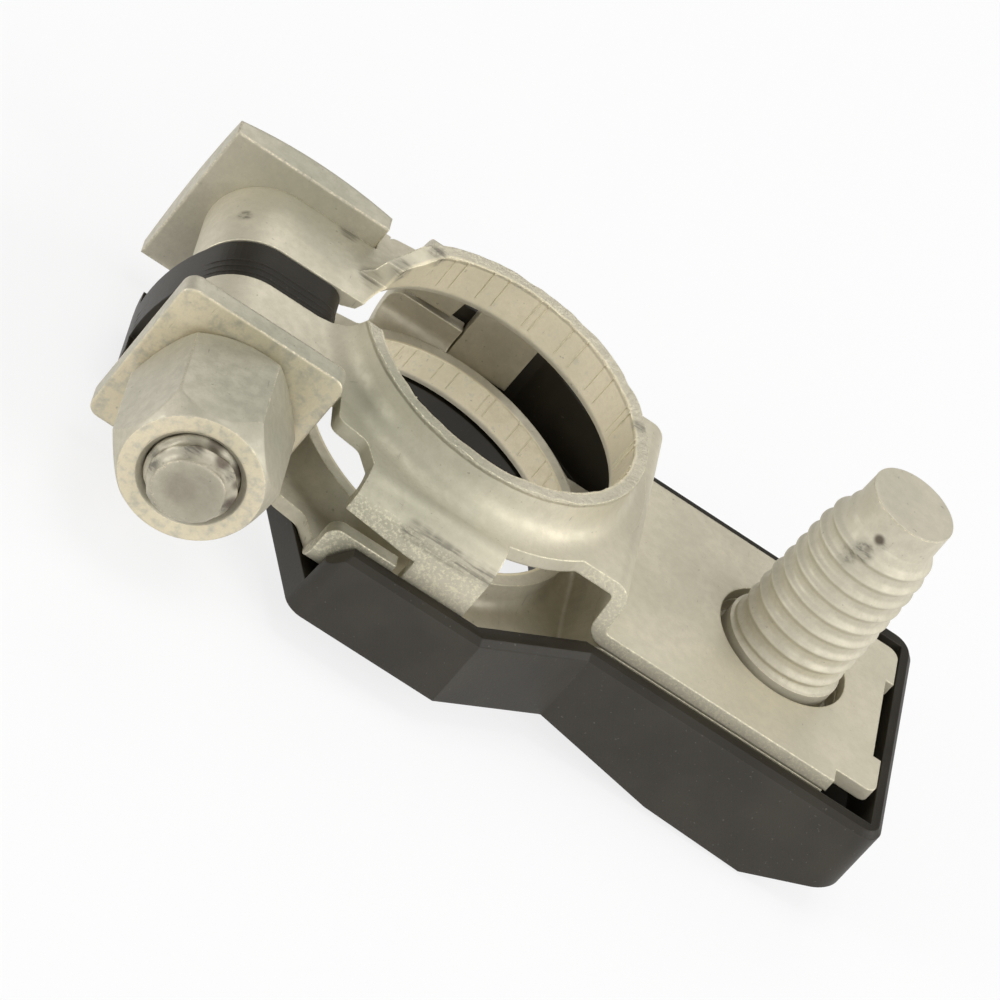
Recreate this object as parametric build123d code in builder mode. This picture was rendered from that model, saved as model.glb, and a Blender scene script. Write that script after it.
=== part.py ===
"""Battery terminal clamp: a folded sheet clamp with a cross bolt, a captive stud and a moulded tray.

Millimetres. +Z is up, along the battery post. The origin lies on the axis of the post bore, level
with the top face of the stud plate. +X points to the stud, and the clamp bolt lies along Y.
"""
from build123d import *
from math import cos, pi, radians, sin, sqrt
import os

os.makedirs("parts", exist_ok=True)

# ---------------------------------------------------------------- driving dimensions
# folded sheet
sheet_t = 1.0             # thickness of the stamped sheet
post_r = 9.5              # bore that grips the battery post
collar_wall = 1.0         # wall of the drawn collars
collar_root_r = 1.2       # rounding under each collar, where the sheet was drawn up
upper_collar_h = 2.92     # rim of the upper collar above the upper sheet
upper_collar_fillet = 1.7
lower_collar_h = 1.95     # rim of the lower collar above the lower sheet
lower_collar_fillet = 0.8
fillet_steps = (3, 2)     # cones in the rounding outside the upper and the lower collar
root_steps = 2            # cones in the rounding under each collar
# ends of the upper collar at the slit: how far back from the slit's side, and how far above the sheet
collar_end_front = ((1.7, 2.92), (0.0, 0.0))
collar_end_back = ((0.0, 0.0), (2.6, 0.25), (2.9, 1.75), (4.4, 2.05), (5.6, 2.92))

# ears, loops and slit
bolt_x = -15.45
bolt_z = -0.35
ear_half = 8.15           # outer faces of the two ears, from the middle plane
slit_half = 2.0           # inner faces of the two ears
loop_clear = 0.05         # radial, between the bolt and the loops

# neck between the ears and the ring, in plan
neck_x = -9.15            # where the ear's edge turns out to the neck
neck_shoulder = (-8.9, 10.3)
neck_waist = (-6.75, 10.7)
neck_bend_r = 0.7
head_stop_x = -9.62       # shoulder beside the bolt's head

# ring, flanges and joggle
ring_edge_r = 12.65       # cut edge of the upper sheet between flange and stud plate
lower_edge_r = 13.15      # cut edge of the lower sheet
flange_y = 14.3           # outer face of the bent flanges
flange_bend_r = 1.0       # inside radius of the bends
upper_flange_x = (-5.95, 4.0)
upper_flange_step_x = -0.5
upper_flange_low = -3.3   # bottom edge of the long part
lower_flange_x = -5.9     # where the lower flanges start
front_flanges = (         # lower edge of the upper tab, then the lower flange's end, top and corner radius
    ((-5.95, 1.1), (-1.2, 0.5)),
    -1.2,
    -0.5,
    0.9,
)
back_flanges = (
    ((-5.95, -0.95), (-1.9, -0.8), (-1.6, 1.3)),
    -0.65,
    -1.25,
    0.9,
)
joggle_x = 12.5           # middle of the upper joggle
joggle_lean = 0.12
joggle_bend = 0.9         # bend radius at the middle of the sheet
lower_joggle_x = (13.4, 11.9)
layer_gap = 0.1           # between the two layers of the stud plate

# stud plate
plate_half = 8.85
plate_end_x = 33.6
plate_recess = (0.6, 4.1)          # depth and half width of the recess in the end
plate_notch = (30.6, 1.25)         # start and depth of the stepped corners
plate_corner_r = 0.8
lower_layer_end_x = 30.4
stud_hole_r = 4.8

# stud
stud_x = 25.36
stud_y = 0.78
stud_r = 4.0              # over the thread's crests
stud_top = 14.14
stud_point_r = 3.0        # plain point above the thread
stud_point_z = 12.0       # foot of the point, where the thread has run out
stud_tip_chamfer = 0.1
thread_pitch = 1.25
thread_turns = 8
thread_crest = 0.35       # width of a crest
thread_depth = 0.4
stud_neck_r = 4.2
stud_neck_z = 0.3
stud_head = 11.5
stud_head_t = 3.9
stud_head_corner = 0.8
stud_head_gap = 0.05

# clamp bolt
bolt_r = 2.95
bolt_head = 11.4
bolt_head_edge = 1.3      # thickness of the head at its corners
bolt_head_dome_r = 22.5
bolt_end_y = -19.8
bolt_end_r = 2.35
bolt_end_chamfer = 0.9    # length of the cone at the bolt's end
bolt_dimple_r = 1.5
bolt_dimple = 0.25

# washer and nut
washer_side = 11.7
washer_t = 1.5
washer_corner_r = 0.9
washer_hole_clear = 0.25
seat_gap = 0.05           # between ear and washer, and between washer and nut
nut_af = 9.3
nut_h = 8.7
nut_face_r = 4.5
nut_chamfer = (0.9, 1.7)  # height of the corner chamfers, washer side and free side
nut_turn = 13.0           # degrees from +X to the nearest corner
nut_bore_clear = 0.05
nut_countersink = 0.4

# tray
tray_wall = 1.2
tray_rim_z = -0.8
tray_rim_chamfer = 0.4
tray_gap = 0.3            # between the flanges and the tray's wall
tray_plate_gap = 0.65     # between the stud plate and the tray's wall
tray_left_x = -5.0
tray_kink_x = (5.7, 13.0)
tray_end_gap = 0.5
tray_end_wall = 1.0
tray_floor_z = -6.4
tray_floor_gap = 0.1      # between the lower sheet and the tray's floor
tray_pocket = ((12.8, -6.4), (22.0, -8.1), (29.4, -8.4))
tray_pocket_x = 13.8      # where the floor steps down into the pocket
tray_pocket_floor_t = 1.1 # floor at the start of the pocket
tray_end_z = -5.7
tray_opening_r = 10.1     # opening for the post
tray_corner_r = 1.6
pocket_clear = 0.25
pocket_rib = 1.2
pocket_rib_top = -2.6
pocket_rib_x = 5.0

# arm of the tray between the ears
arm_gap = 0.15
arm_hole_clear = 0.15
arm_inset = 0.05          # the arm's top below the outside of the loops
arm_right_x = -10.6
arm_nose_r = 1.2          # rounding of the arm's free end
arm_crown = (150, 60)     # where the arm's round top starts, and its extent, in degrees
arm_bottom_z = -8.4
arm_bottom_x = (-17.0, -19.5)
arm_bulge_x = -20.45
arm_foot_half = 3.2       # half width of the foot under the ears
arm_foot_z = -5.2         # top of the foot

# ---------------------------------------------------------------- worked out from the above
loop_r = bolt_r + loop_clear
loop_mid = loop_r + sheet_t / 2
loop_out = loop_r + sheet_t
upper_mid = bolt_z + loop_mid
upper_top = bolt_z + loop_out
lower_mid = bolt_z - loop_mid
lower_top = bolt_z - loop_r
lower_bottom = bolt_z - loop_out
plate_mid = -sheet_t / 2
layer_mid = plate_mid - sheet_t - layer_gap
layer_bottom = layer_mid - sheet_t / 2
bend_mid = flange_bend_r + sheet_t / 2
bend_start = flange_y - sheet_t - flange_bend_r
collar_out = post_r + collar_wall
collar_foot = post_r + collar_root_r
upper_rim = upper_top + upper_collar_h
lower_rim = lower_top + lower_collar_h
plate_start_x = sqrt(ring_edge_r**2 - plate_half**2)
reach = 60.0              # longer than the part, for cutting tools
bolt_axis = Axis((bolt_x, 0, bolt_z), (0, 1, 0))


def ring_point(radius, x):
    """The point of a circle round the post axis at x, on the front side."""
    return (x, -sqrt(radius**2 - x**2))


def rounding(start, corner, end, steps):
    """A quarter rounding of a collar, drawn as a few short cones between its two ends."""
    centre_r = start[0] + end[0] - corner[0]
    centre_z = start[1] + end[1] - corner[1]
    points = []
    for step in range(steps + 1):
        turn = radians(90 * step / steps)
        points.append(
            (
                centre_r + (start[0] - centre_r) * cos(turn) + (end[0] - centre_r) * sin(turn),
                centre_z + (start[1] - centre_z) * cos(turn) + (end[1] - centre_z) * sin(turn),
            )
        )
    return Polyline(*points)


def front(point):
    """A point given for the back half, put on the front half."""
    return (point[0], -point[1])


# ---------------------------------------------------------------- clamp body, front half
# upper sheet: stud plate, joggle, ring and the upper half of the front loop
with BuildPart() as upper_sheet:
    with BuildSketch(Plane.XZ):
        with BuildLine():
            FilletPolyline(
                (plate_end_x, plate_mid),
                (joggle_x + joggle_lean, plate_mid),
                (joggle_x - joggle_lean, upper_mid),
                (bolt_x, upper_mid),
                radius=joggle_bend,
            )
            CenterArc((bolt_x, bolt_z), loop_mid, 90, 90)
        trace(line_width=sheet_t)
    extrude(amount=flange_y)
    with BuildSketch(Plane.XY.offset(-reach / 2)):
        with BuildLine():
            Polyline(
                ring_point(ring_edge_r, plate_start_x),
                (plate_end_x, -plate_half),
                (plate_end_x, 0),
                (-post_r / 2, 0),
                (-post_r / 2, -slit_half),
                (-reach / 2, -slit_half),
                (-reach / 2, -ear_half),
                (neck_x, -ear_half),
            )
            FilletPolyline(
                (neck_x, -ear_half),
                front(neck_shoulder),
                front(neck_waist),
                (upper_flange_x[0], -bend_start),
                radius=neck_bend_r,
            )
            Polyline(
                (upper_flange_x[0], -bend_start),
                (upper_flange_x[1], -bend_start),
                ring_point(ring_edge_r, upper_flange_x[1]),
            )
            RadiusArc(
                ring_point(ring_edge_r, upper_flange_x[1]),
                ring_point(ring_edge_r, plate_start_x),
                -ring_edge_r,
            )
        make_face()
        Circle(collar_foot, mode=Mode.SUBTRACT)
    extrude(amount=reach, mode=Mode.INTERSECT)

# lower sheet: the lower half of the loop, ring, joggle and the layer under the stud plate
with BuildPart() as lower_sheet:
    with BuildSketch(Plane.XZ):
        with BuildLine():
            FilletPolyline(
                (lower_layer_end_x, layer_mid),
                (lower_joggle_x[0], layer_mid),
                (lower_joggle_x[1], lower_mid),
                (bolt_x, lower_mid),
                radius=joggle_bend,
            )
            CenterArc((bolt_x, bolt_z), loop_mid, 180, 90)
        trace(line_width=sheet_t)
    extrude(amount=flange_y)
    lower_start_x = sqrt(lower_edge_r**2 - plate_half**2)
    with BuildSketch(Plane.XY.offset(-reach / 2)):
        with BuildLine():
            Polyline(
                ring_point(lower_edge_r, lower_start_x),
                (lower_layer_end_x, -plate_half),
                (lower_layer_end_x, 0),
                (-post_r / 2, 0),
                (-post_r / 2, -slit_half),
                (-reach / 2, -slit_half),
                (-reach / 2, -ear_half),
                (neck_x, -ear_half),
            )
            FilletPolyline(
                (neck_x, -ear_half),
                front(neck_shoulder),
                front(neck_waist),
                (lower_flange_x, -bend_start),
                radius=neck_bend_r,
            )
            Polyline(
                (lower_flange_x, -bend_start),
                (front_flanges[1], -bend_start),
                ring_point(lower_edge_r, front_flanges[1]),
            )
            RadiusArc(
                ring_point(lower_edge_r, front_flanges[1]),
                ring_point(lower_edge_r, lower_start_x),
                -lower_edge_r,
            )
        make_face()
        Circle(collar_foot, mode=Mode.SUBTRACT)
    extrude(amount=reach, mode=Mode.INTERSECT)

# flanges, front and back: the upper sheet's is bent down, the lower sheet's is bent up to meet it
flanges = []
for tab_edge, lower_end_x, lower_top_z, corner_r in (front_flanges, back_flanges):
    with BuildPart() as upper_flange:
        with BuildSketch(Plane.YZ.offset(upper_flange_x[0])):
            with BuildLine():
                FilletPolyline(
                    (-bend_start + sheet_t, upper_mid),
                    (-flange_y + sheet_t / 2, upper_mid),
                    (-flange_y + sheet_t / 2, upper_flange_low),
                    radius=bend_mid,
                )
            trace(line_width=sheet_t)
        extrude(amount=upper_flange_x[1] - upper_flange_x[0])
        with BuildSketch(Plane.XZ):
            with BuildLine():
                Polyline(
                    *tab_edge,
                    (upper_flange_step_x, tab_edge[-1][1]),
                    (upper_flange_step_x, -reach),
                    (-reach, -reach),
                    (-reach, tab_edge[0][1]),
                    close=True,
                )
            make_face()
        extrude(amount=reach, mode=Mode.SUBTRACT)
    with BuildPart() as lower_flange:
        with BuildSketch(Plane.YZ.offset(lower_flange_x)):
            with BuildLine():
                FilletPolyline(
                    (-bend_start + sheet_t, lower_mid),
                    (-flange_y + sheet_t / 2, lower_mid),
                    (-flange_y + sheet_t / 2, lower_top_z),
                    radius=bend_mid,
                )
            trace(line_width=sheet_t)
        extrude(amount=lower_end_x - lower_flange_x)
        top_corner = lower_flange.edges().filter_by(Axis.Y).group_by(Axis.Z)[-1].sort_by(Axis.X)[0]
        fillet(top_corner, corner_r)
    flanges.append((upper_flange.part, lower_flange.part))

# ---------------------------------------------------------------- clamp body, whole
with BuildPart() as clamp_body:
    add(upper_sheet.part)
    add(lower_sheet.part)
    mirror(about=Plane.XZ)
    add(flanges[0])
    add([mirror(flange, about=Plane.XZ) for flange in flanges[1]])

    # shoulder that the bolt's square head bears against
    with BuildSketch(Plane.XY.offset(upper_top - sheet_t)):
        with Locations((head_stop_x, ear_half)):
            Rectangle(neck_shoulder[0] - head_stop_x, neck_shoulder[1] - ear_half, align=Align.MIN)
    extrude(amount=sheet_t)

    # drawn collars: straight wall inside, large fillet outside, rounded root underneath
    with BuildSketch(Plane.XZ):
        for rim, top, fillet_r, steps in (
            (upper_rim, upper_top, upper_collar_fillet, fillet_steps[0]),
            (lower_rim, lower_top, lower_collar_fillet, fillet_steps[1]),
        ):
            with BuildLine():
                root = (collar_foot, top - sheet_t)
                mouth = (post_r, top - sheet_t + collar_root_r)
                Polyline(
                    mouth,
                    (post_r, rim),
                    (collar_out, rim),
                    (collar_out, top + fillet_r),
                )
                rounding(
                    (collar_out, top + fillet_r),
                    (collar_out, top),
                    (collar_out + fillet_r, top),
                    steps,
                )
                Polyline((collar_out + fillet_r, top), (collar_out + fillet_r, top - sheet_t), root)
                rounding(root, (post_r, top - sheet_t), mouth, root_steps)
            make_face()
    revolve(axis=Axis.Z)

    # the slit runs between the ears into the bore
    with BuildSketch(Plane.XY.offset(-reach / 2)):
        with Locations((-reach / 2, 0)):
            Rectangle(reach, 2 * slit_half)
    extrude(amount=reach, mode=Mode.SUBTRACT)

    # the upper collar leans back on both sides of the slit
    with BuildSketch(Plane.YZ):
        Polygon(
            *[(-slit_half - away, upper_top + up) for away, up in collar_end_front],
            *[(slit_half + away, upper_top + up) for away, up in collar_end_back],
            align=None,
        )
    extrude(amount=-reach / 2, mode=Mode.SUBTRACT)

    # stud hole through both layers
    with BuildSketch(Plane.XY.offset(-reach / 2)):
        with Locations((stud_x, stud_y)):
            Circle(stud_hole_r)
    extrude(amount=reach, mode=Mode.SUBTRACT)

    # recess and stepped corners in the end of the stud plate
    with BuildSketch(Plane.XY.offset(layer_bottom)):
        with Locations((plate_end_x, 0)):
            Rectangle(2 * plate_recess[0], 2 * plate_recess[1])
        notch_x, notch_d = plate_notch
        with Locations(*[(notch_x + reach / 2, side * (plate_half - notch_d / 2)) for side in (1, -1)]):
            Rectangle(reach, notch_d)
    extrude(amount=-layer_bottom + sheet_t, mode=Mode.SUBTRACT)
    end_corners = clamp_body.edges().filter_by(Axis.Z).group_by(Axis.X)[-1].sort_by(Axis.Y)
    fillet([end_corners[0], end_corners[-1]], plate_corner_r)
    clamp_body.part.label = "clamp_body"

# ---------------------------------------------------------------- clamp bolt
with BuildPart() as clamp_bolt:
    head_h = bolt_head_edge + bolt_head_dome_r - sqrt(bolt_head_dome_r**2 - bolt_head**2 / 2)
    with BuildSketch(Plane.XZ.offset(-ear_half)):
        with Locations((bolt_x, bolt_z)):
            Rectangle(bolt_head, bolt_head)
    extrude(amount=-head_h)
    with Locations((bolt_x, ear_half + head_h - bolt_head_dome_r, bolt_z)):
        Sphere(bolt_head_dome_r, mode=Mode.INTERSECT)
    with BuildSketch(Plane.XZ.offset(-ear_half)):
        with Locations((bolt_x, bolt_z)):
            Circle(bolt_r)
    extrude(amount=ear_half - bolt_end_y)
    end_rim = clamp_bolt.edges().filter_by(GeomType.CIRCLE).sort_by(Axis.Y)[0]
    chamfer(end_rim, bolt_r - bolt_end_r, bolt_end_chamfer)
    with BuildSketch(Plane.XZ.offset(-bolt_end_y)):
        with Locations((bolt_x, bolt_z)):
            Circle(bolt_dimple_r)
    extrude(amount=-bolt_dimple, taper=45, mode=Mode.SUBTRACT)
    clamp_bolt.part.label = "clamp_bolt"

# ---------------------------------------------------------------- washer
washer_y = ear_half + seat_gap
with BuildPart() as square_washer:
    with BuildSketch(Plane.XZ.offset(washer_y)):
        with Locations((bolt_x, bolt_z)):
            RectangleRounded(washer_side, washer_side, washer_corner_r)
            Circle(bolt_r + washer_hole_clear, mode=Mode.SUBTRACT)
    extrude(amount=washer_t)
    square_washer.part.label = "square_washer"

# ---------------------------------------------------------------- nut
nut_y = washer_y + washer_t + seat_gap
nut_corner_r = nut_af / 2 / cos(pi / 6)
with BuildPart() as hex_nut:
    with BuildSketch(Plane.XZ.offset(nut_y)):
        with Locations((bolt_x, bolt_z)):
            RegularPolygon(nut_corner_r, 6, rotation=nut_turn)
    extrude(amount=nut_h)
    with BuildSketch(Plane(origin=(bolt_x, 0, bolt_z), x_dir=(1, 0, 0), z_dir=(0, 0, 1))):
        with BuildLine():
            Polyline(
                (bolt_r + nut_bore_clear + nut_countersink, -nut_y),
                (nut_face_r, -nut_y),
                (nut_corner_r, -nut_y - nut_chamfer[0]),
                (nut_corner_r, -nut_y - nut_h + nut_chamfer[1]),
                (nut_face_r, -nut_y - nut_h),
                (bolt_r + nut_bore_clear + nut_countersink, -nut_y - nut_h),
                (bolt_r + nut_bore_clear, -nut_y - nut_h + nut_countersink),
                (bolt_r + nut_bore_clear, -nut_y - nut_countersink),
                close=True,
            )
        make_face()
    revolve(axis=bolt_axis, mode=Mode.INTERSECT)
    hex_nut.part.label = "hex_nut"

# ---------------------------------------------------------------- stud
head_top = layer_bottom - stud_head_gap
thread_line = [(stud_r, stud_neck_z)]
for turn in range(thread_turns):
    crest_end = stud_neck_z + thread_crest + turn * thread_pitch
    crest_start = stud_neck_z + (turn + 1) * thread_pitch
    thread_line.append((stud_r, crest_end))
    thread_line.append((stud_r - thread_depth, (crest_end + crest_start) / 2))
    thread_line.append((stud_r, crest_start))
thread_line.append((stud_r, stud_neck_z + thread_crest + thread_turns * thread_pitch))
with BuildPart() as stud:
    with BuildSketch(Plane(origin=(stud_x, stud_y, 0), x_dir=(1, 0, 0), z_dir=(0, -1, 0))):
        with BuildLine():
            Polyline(
                (0, head_top),
                (stud_neck_r, head_top),
                (stud_neck_r, stud_neck_z),
                *thread_line,
                (stud_point_r, stud_point_z),
                (stud_point_r, stud_top),
                (0, stud_top),
                close=True,
            )
        make_face()
    revolve(axis=Axis((stud_x, stud_y, 0), (0, 0, 1)))
    tip_rim = stud.edges().filter_by(GeomType.CIRCLE).sort_by(Axis.Z)[-1]
    chamfer(tip_rim, stud_tip_chamfer)
    with BuildSketch(Plane.XY.offset(head_top)):
        with Locations((stud_x, stud_y)):
            RectangleRounded(stud_head, stud_head, stud_head_corner)
    extrude(amount=-stud_head_t)
    stud.part.label = "stud"

# ---------------------------------------------------------------- tray
wide_half = flange_y + tray_gap + tray_wall
narrow_half = plate_half + tray_plate_gap + tray_wall
tray_end_x = plate_end_x + tray_end_gap + tray_end_wall
floor_top = lower_bottom - tray_floor_gap
arm_half = slit_half - arm_gap
arm_r = loop_out - arm_inset

# space inside the walls: everything within them and above the floor
with BuildPart() as tray_inside:
    with BuildSketch(Plane.XY.offset(floor_top - reach / 2)):
        with BuildLine():
            Polyline(
                (-reach, -wide_half + tray_wall),
                (tray_kink_x[0] - tray_wall / 2, -wide_half + tray_wall),
                (tray_kink_x[1] - tray_wall / 2, -narrow_half + tray_wall),
                (tray_end_x - tray_end_wall, -narrow_half + tray_wall),
                (tray_end_x - tray_end_wall, narrow_half - tray_wall),
                (tray_kink_x[1] - tray_wall / 2, narrow_half - tray_wall),
                (tray_kink_x[0] - tray_wall / 2, wide_half - tray_wall),
                (-reach, wide_half - tray_wall),
                close=True,
            )
        make_face()
    extrude(amount=reach)
    with BuildSketch(Plane.XZ):
        with BuildLine():
            Polyline(
                (-reach, floor_top),
                (tray_pocket_x, floor_top),
                (tray_pocket_x, tray_pocket[0][1] + tray_pocket_floor_t),
                (tray_pocket[1][0] + tray_wall / 2, tray_pocket[1][1] + tray_wall),
                (tray_pocket[2][0] - tray_wall / 2, tray_pocket[2][1] + tray_wall),
                (tray_end_x - tray_end_wall, tray_end_z + tray_wall),
                (tray_end_x, reach),
                (-reach, reach),
                close=True,
            )
        make_face()
    extrude(amount=reach, both=True, mode=Mode.INTERSECT)

with BuildPart() as tray:
    # outer block: plan outline with walls up to the rim
    with BuildSketch(Plane.XY.offset(tray_rim_z)):
        with BuildLine():
            Polyline(
                (tray_left_x, -wide_half),
                (tray_kink_x[0], -wide_half),
                (tray_kink_x[1], -narrow_half),
                (tray_end_x, -narrow_half),
                (tray_end_x, narrow_half),
                (tray_kink_x[1], narrow_half),
                (tray_kink_x[0], wide_half),
                (tray_left_x, wide_half),
                (arm_right_x, arm_half),
                (arm_right_x, -arm_half),
                close=True,
            )
        make_face()
    extrude(amount=-reach / 2)
    end_corners = tray.edges().filter_by(Axis.Z).group_by(Axis.X)[-1]
    fillet(end_corners, tray_corner_r)
    with BuildSketch(Plane.XZ):
        with BuildLine():
            Polyline(
                (-reach, tray_floor_z),
                *tray_pocket,
                (tray_end_x, tray_end_z),
                (tray_end_x, 0),
                (tray_left_x + tray_corner_r, 0),
                close=False,
            )
            Polyline(
                (tray_left_x + tray_corner_r, 0),
                (tray_left_x, tray_rim_z - tray_corner_r),
                (tray_left_x, floor_top),
                (-reach, floor_top),
                (-reach, tray_floor_z),
            )
        make_face()
    extrude(amount=reach, both=True, mode=Mode.INTERSECT)
    rim_edges = (
        tray.faces().filter_by(Axis.Z).group_by(Axis.Z)[-1].edges()
        .filter_by(lambda e: e.center().X > tray_left_x + 2 * tray_corner_r)
    )
    chamfer(rim_edges, tray_rim_chamfer)
    add(tray_inside.part, mode=Mode.SUBTRACT)

    # opening for the post, with a small chamfer underneath
    with BuildSketch(Plane.XY.offset(floor_top)):
        Circle(tray_opening_r)
    extrude(amount=-reach, mode=Mode.SUBTRACT)

    # ribs that keep the stud's head from turning
    rib_y = stud_head / 2 + pocket_clear + pocket_rib / 2
    with BuildSketch(Plane.XY.offset(pocket_rib_top)):
        with Locations((stud_x, stud_y + rib_y), (stud_x, stud_y - rib_y)):
            Rectangle(2 * pocket_rib_x, pocket_rib)
    extrude(amount=tray_pocket[1][1] - pocket_rib_top + tray_wall / 2)

    # arm between the ears, round the bolt, on a wider foot
    for half, low_part in ((arm_half, False), (arm_foot_half, True)):
        with BuildSketch(Plane.XZ.offset(-half)):
            with BuildLine():
                Line((bolt_x, bolt_z + arm_r), (arm_right_x - arm_nose_r, bolt_z + arm_r))
                RadiusArc(
                    (arm_right_x - arm_nose_r, bolt_z + arm_r),
                    (arm_right_x, bolt_z + arm_r - arm_nose_r),
                    arm_nose_r,
                )
                Polyline(
                    (arm_right_x, bolt_z + arm_r - arm_nose_r),
                    (arm_right_x, tray_floor_z),
                    (arm_bottom_x[0], arm_bottom_z),
                    (arm_bottom_x[1], arm_bottom_z),
                )
                ThreePointArc(
                    (arm_bottom_x[1], arm_bottom_z),
                    (arm_bulge_x, (arm_bottom_z + bolt_z) / 2),
                    (bolt_x - arm_r * cos(pi / 6), bolt_z + arm_r / 2),
                )
                CenterArc((bolt_x, bolt_z), arm_r, arm_crown[0], -arm_crown[1])
            make_face()
            with Locations((bolt_x, bolt_z)):
                Circle(bolt_r + arm_hole_clear, mode=Mode.SUBTRACT)
            if low_part:
                with Locations((bolt_x, arm_foot_z + reach / 2)):
                    Rectangle(reach, reach, mode=Mode.SUBTRACT)
        extrude(amount=2 * half)
    tray.part.label = "tray"

for piece in (clamp_body, clamp_bolt, square_washer, hex_nut, stud, tray):
    export_step(piece.part, f"parts/{piece.part.label}.step")
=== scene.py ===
"""Battery terminal clamp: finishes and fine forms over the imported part.

The scene is in metres, in the part's own frame. +Z runs along the battery post, the origin lies on
the post axis level with the top of the stud plate, +X points to the stud and the clamp bolt lies
along Y. Sizes with no unit named are millimetres, and MM turns them into metres.
"""
import math

import bmesh
import bpy
from mathutils import Matrix, Vector, noise


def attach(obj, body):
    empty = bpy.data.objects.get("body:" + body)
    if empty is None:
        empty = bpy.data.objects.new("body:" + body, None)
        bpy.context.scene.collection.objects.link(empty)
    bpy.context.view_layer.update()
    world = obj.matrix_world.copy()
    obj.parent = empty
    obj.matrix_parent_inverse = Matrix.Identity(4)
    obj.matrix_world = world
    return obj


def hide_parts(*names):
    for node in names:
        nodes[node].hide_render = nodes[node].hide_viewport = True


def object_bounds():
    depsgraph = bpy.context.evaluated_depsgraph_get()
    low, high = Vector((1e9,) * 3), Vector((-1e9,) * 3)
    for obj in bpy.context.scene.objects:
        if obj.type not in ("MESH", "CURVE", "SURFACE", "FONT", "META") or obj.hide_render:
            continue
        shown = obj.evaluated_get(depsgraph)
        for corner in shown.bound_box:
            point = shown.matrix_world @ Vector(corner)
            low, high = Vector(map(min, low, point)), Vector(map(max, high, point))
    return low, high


MM = 0.001

# stud: its place, plain neck, thread, and square head under the plate
STUD_X, STUD_Y = 25.36, 0.78
STUD_NECK_R, STUD_NECK_Z = 4.2, 0.3
STUD_NECK_ROWS = (-2.45, -0.4, 0.25)
STUD_PITCH, STUD_THREAD_DEPTH = 1.25, 0.26
STUD_THREAD_GROWN, STUD_THREAD_FADES, STUD_THREAD_GONE = 0.7, 11.0, 12.0
STUD_THREAD_ROWS, STUD_ROW_STEP = 190, 0.0625
STUD_TOP = 14.14
STUD_AROUND = 96
STUD_HEAD, STUD_HEAD_T, STUD_HEAD_TOP, STUD_HEAD_CORNER = 11.5, 3.9, -2.15, 0.8
# height, and radius over the thread's crests
STUD_OUTLINE = (
    (0.3, 4.0), (4.3, 4.0), (6.0, 3.93), (9.4, 3.84),
    (11.0, 3.64), (11.9, 3.14), (12.1, 3.04), (14.1, 3.0),
)
# plain point with a fine groove round its top edge: depth below the top, radius
STUD_POINT = (
    (0.94, 3.01), (0.13, 2.99), (0.10, 2.93), (0.07, 3.0), (0.02, 2.99),
    (0.0, 2.92), (0.015, 2.72), (0.02, 1.5), (0.02, 0.3),
)

# clamp bolt
BOLT_X, BOLT_Z = -15.45, -0.35
BOLT_R, BOLT_PITCH, BOLT_THREAD_DEPTH = 2.95, 1.0, 0.36
BOLT_THREAD_START, BOLT_END = -8.7, -19.8
BOLT_THREAD_LENGTH = BOLT_THREAD_START - BOLT_END
BOLT_THREAD_GROWN = 1.5
BOLT_END_R, BOLT_CONE, BOLT_CONE_WORN = 2.35, 0.9, 0.45
BOLT_ROWS, BOLT_AROUND = 180, 72
# dints near the end: depth, length they cover, and how many there are round it and along it
DINT_DEPTH, DINTED_LENGTH, DINTS_ROUND, DINTS_ALONG = 0.22, 2.2, 2.2, 2.5
# the thread starts a little inside the neck and is drawn out by as much
BOLT_LAP, BOLT_DRAWN_OUT = 0.03, 1.0027
# end of the thread, then the dimpled end face: depth below the end, radius
BOLT_LAST_ROW = 0.06
BOLT_TIP = (
    (0.02, 2.25), (0.0, 2.15), (0.0, 1.62), (0.07, 1.45), (0.18, 1.15), (0.23, 0.6), (0.24, 0.1),
)

# how narrow the crest of a rolled thread is
THREAD_SHARPNESS = 2.2

# collars: bore radius, then foot and rim of the straight wall of each
BORE_R = 9.5
UPPER_BORE = (3.95, 6.35)
LOWER_BORE = (-3.1, -1.5)

# torn rim of the upper collar: chips and longer waves, by their number in a millimetre
UPPER_RIM, UPPER_RIM_R = 6.57, 10.5
RIM_CUTS = 3
CHIPS, WAVES = 0.9, 0.26
CHIP_DROP, WAVE_DROP = 0.13, 0.10
# each edge of the rim: how far it drops, how far it is cut back, and how much more in a chip
INNER_DROP, INNER_CUT, INNER_CHIP = 0.16, 0.02, 0.07
OUTER_DROP, OUTER_CUT, OUTER_CHIP = 0.10, 0.05, 0.09

# score beads in the bores: step from pair to pair and gap in a pair in degrees, play in radians
PAIR_STEP, PAIR_GAP, BEAD_PLAY = 18.5, 4.9, 0.03
BEAD_SEED, BEAD_SIDES = 7, 8
BEAD_WIDTH, BEAD_LIFT = 0.13, 0.07
BEAD_CIRCLE_R = BORE_R + 0.02

# tray
TRAY_HALF_WIDTH, TRAY_WAIST_X = 15.8, -4.9
TRAY_CORNER_R, TRAY_EDGE_R = 0.9, 0.16
# the rim behind the back flange: where it is, and how far it is raised at its two ends
BACK_RIM_Y, BACK_RIM_Z = 8.0, -1.3
BACK_RIM_LOW_X, BACK_RIM_HIGH_X = 13.0, 7.0
BACK_RIM_LIFT, BACK_RIM_MORE = 0.15, 0.40

# arm of the tray, with its ribs
ARM_R, ARM_RIGHT, ARM_NOSE = 3.95, -10.6, 1.2
RIBS, FIRST_RIB, RIB_SPACING, RIB_R = 3, -1.45, 0.62, 0.055
# outer side of the arm from its foot up to its round top: X, Z
ARM_SIDE = (
    (-20.02, -6.6), (-20.27, -5.6), (-20.41, -4.6), (-20.40, -3.6),
    (-20.26, -2.4), (-20.00, -1.2), (-19.62, 0.0), (-19.22, 0.9),
)

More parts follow.
